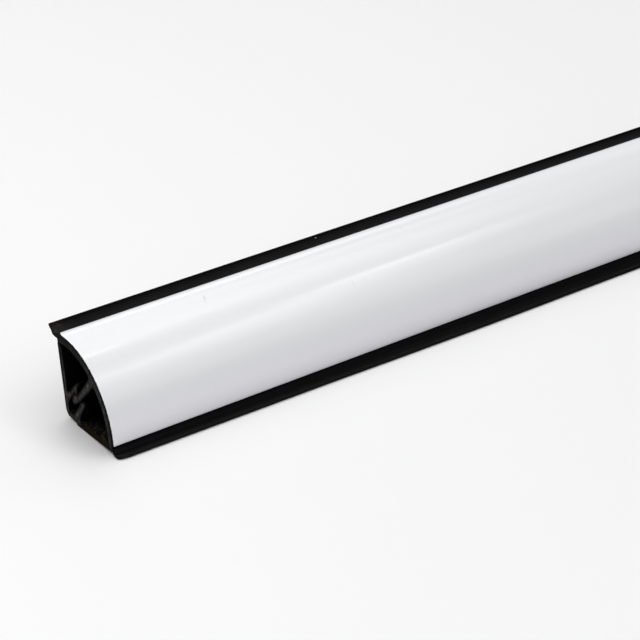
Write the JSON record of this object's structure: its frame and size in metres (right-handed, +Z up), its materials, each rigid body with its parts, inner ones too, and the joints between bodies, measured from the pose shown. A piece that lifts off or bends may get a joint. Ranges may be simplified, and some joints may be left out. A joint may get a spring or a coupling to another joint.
{
  "type": "plastic quarter-round skirting trim",
  "caption": "Length of hollow quarter-round plastic skirting trim: a white-faced cover with sealing lips, clipped into a black angle rail, to close a wall and worktop or floor joint.",
  "frame": {"origin": "centre of the footprint, on the level surface that the trim lies on", "axes": "+X along the strip, +Y to the wall side (the strip's back), +Z up; the section leans back a little because it rests on its lower lip"},
  "size_m": [1.5, 0.0352, 0.0259],
  "materials": {
    "rail_plastic": "black extruded plastic, dull, with fine lengthwise die lines and paler sawn ends",
    "cover_plastic": "black extruded plastic, satin, with softer sealing lips and paler sawn ends",
    "white_film": "smooth gloss white film, faint lengthwise ripple"
  },
  "bodies": {
    "root": {"mounting_rail": "rail_plastic", "cover_strip": "cover_plastic", "decor_film": "white_film"}
  },
  "joints": []
}
